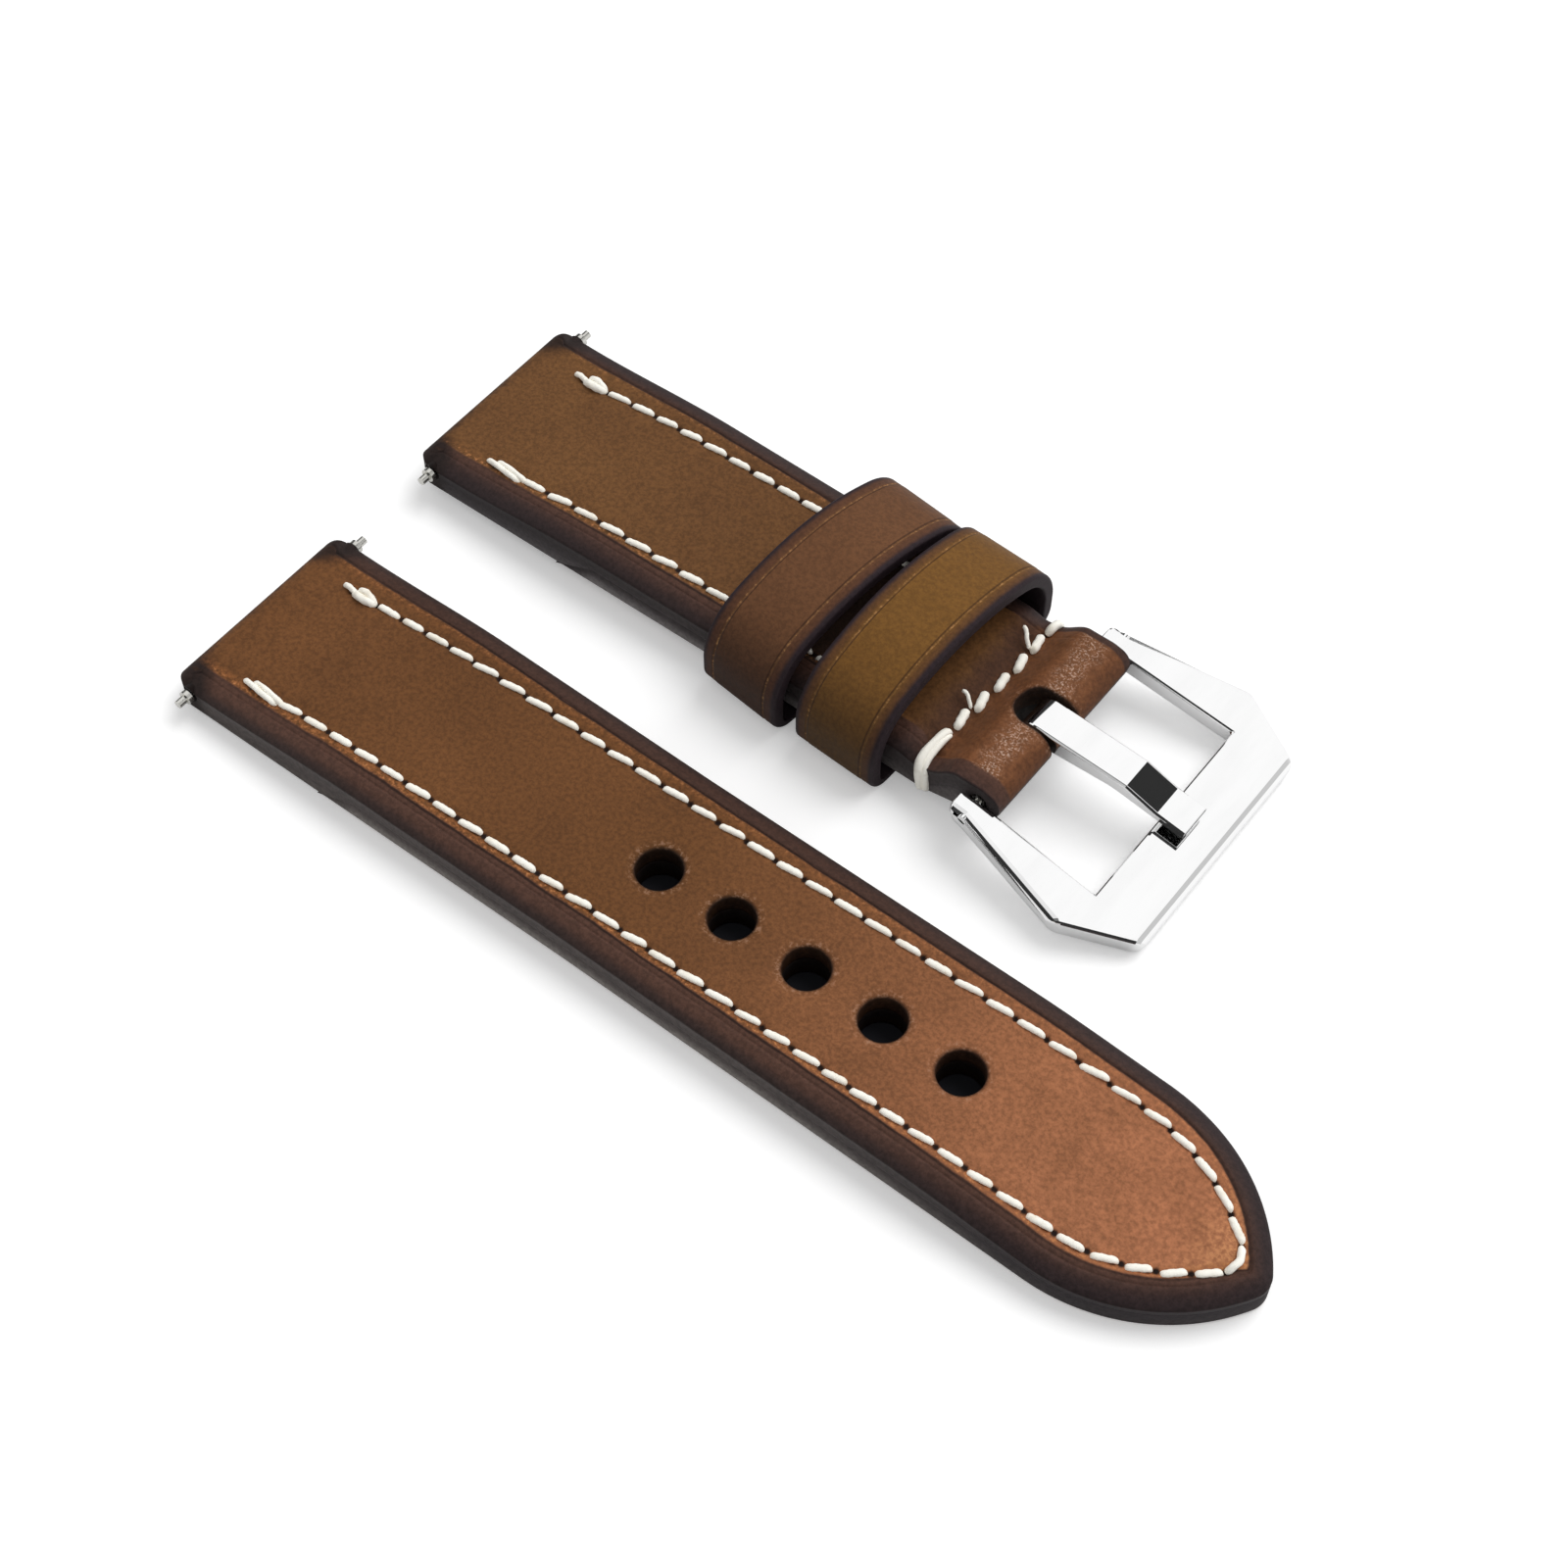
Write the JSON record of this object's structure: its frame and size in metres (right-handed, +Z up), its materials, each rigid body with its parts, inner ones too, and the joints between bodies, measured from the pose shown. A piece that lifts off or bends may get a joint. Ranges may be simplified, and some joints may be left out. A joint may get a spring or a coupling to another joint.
{
  "type": "watch strap",
  "caption": "Leather watch strap in two halves with a steel pin buckle, leather keeper loops, punched tongue holes, contrast stitching and sprung lug bars.",
  "frame": {"origin": "middle of the underside, on the table that the strap lies on", "axes": "+X along the strap from the lug ends to the tip and the buckle, +Y from the hole half to the buckle half, +Z up out of the leather"},
  "size_m": [0.12, 0.0658, 0.0124],
  "materials": {
    "strap_leather": "waxed matt with burnished dark edges",
    "lining_leather": "matt, dark edges",
    "keeper_tan": "waxed matt",
    "keeper_brown": "waxed matt",
    "thread": "waxed linen",
    "bar_steel": "bright",
    "buckle_steel": "polished"
  },
  "bodies": {
    "hole_half": {"hole_half_upper": "strap_leather", "hole_half_lining": "lining_leather", "hole_half_stitching": "thread", "hole_bar_tube": "bar_steel", "hole_bar_spring": "bar_steel"},
    "buckle_half": {"buckle_half_upper": "strap_leather", "buckle_half_lining": "lining_leather", "buckle_half_stitching": "thread", "cross_stitching": "thread", "fixed_keeper": "keeper_tan", "lug_bar_tube": "bar_steel", "lug_bar_spring": "bar_steel", "buckle_bar_tube": "bar_steel", "buckle_bar_spring": "bar_steel"},
    "hole_bar_tip_near": {"hole_bar_tip_near": "bar_steel"},
    "hole_bar_tip_far": {"hole_bar_tip_far": "bar_steel"},
    "lug_bar_tip_near": {"lug_bar_tip_near": "bar_steel"},
    "lug_bar_tip_far": {"lug_bar_tip_far": "bar_steel"},
    "buckle_bar_tip_near": {"buckle_bar_tip_near": "bar_steel"},
    "buckle_bar_tip_far": {"buckle_bar_tip_far": "bar_steel"},
    "sliding_keeper": {"sliding_keeper": "keeper_brown"},
    "buckle_frame": {"buckle_frame": "buckle_steel"},
    "buckle_tongue": {"buckle_tongue": "buckle_steel"}
  },
  "joints": [
    {"name": "halves_apart", "type": "slide", "parent": "hole_half", "child": "buckle_half", "axis": [0, 1, 0], "range_m": [0, 0.06]},
    {"name": "hole_bar_tip_near_press", "type": "slide", "parent": "hole_half", "child": "hole_bar_tip_near", "axis": [0, 1, 0], "range_m": [0, 0.0011], "stiffness_N_per_m": 100, "deforming": ["hole_bar_spring"]},
    {"name": "hole_bar_tip_far_press", "type": "slide", "parent": "hole_half", "child": "hole_bar_tip_far", "axis": [0, -1, 0], "range_m": [0, 0.0011], "stiffness_N_per_m": 100, "deforming": ["hole_bar_spring"]},
    {"name": "lug_bar_tip_near_press", "type": "slide", "parent": "buckle_half", "child": "lug_bar_tip_near", "axis": [0, 1, 0], "range_m": [0, 0.0011], "stiffness_N_per_m": 100, "deforming": ["lug_bar_spring"]},
    {"name": "lug_bar_tip_far_press", "type": "slide", "parent": "buckle_half", "child": "lug_bar_tip_far", "axis": [0, -1, 0], "range_m": [0, 0.0011], "stiffness_N_per_m": 100, "deforming": ["lug_bar_spring"]},
    {"name": "buckle_bar_tip_near_press", "type": "slide", "parent": "buckle_half", "child": "buckle_bar_tip_near", "axis": [0, 1, 0], "range_m": [0, 0.0015], "stiffness_N_per_m": 100, "deforming": ["buckle_bar_spring"]},
    {"name": "buckle_bar_tip_far_press", "type": "slide", "parent": "buckle_half", "child": "buckle_bar_tip_far", "axis": [0, -1, 0], "range_m": [0, 0.0015], "stiffness_N_per_m": 100, "deforming": ["buckle_bar_spring"]},
    {"name": "keeper_slide", "type": "slide", "parent": "buckle_half", "child": "sliding_keeper", "axis": [1, 0, 0], "range_m": [-0.034, 0.0002]},
    {"name": "buckle_swing", "type": "hinge", "parent": "buckle_half", "child": "buckle_frame", "pos_m": [0.0119, 0.01593, 0.0049], "axis": [0, -1, 0], "range_deg": [-90, 50]},
    {"name": "tongue_lift", "type": "hinge", "parent": "buckle_frame", "child": "buckle_tongue", "pos_m": [0.0119, 0.01593, 0.0049], "axis": [0, -1, 0], "range_deg": [0, 50]}
  ]
}
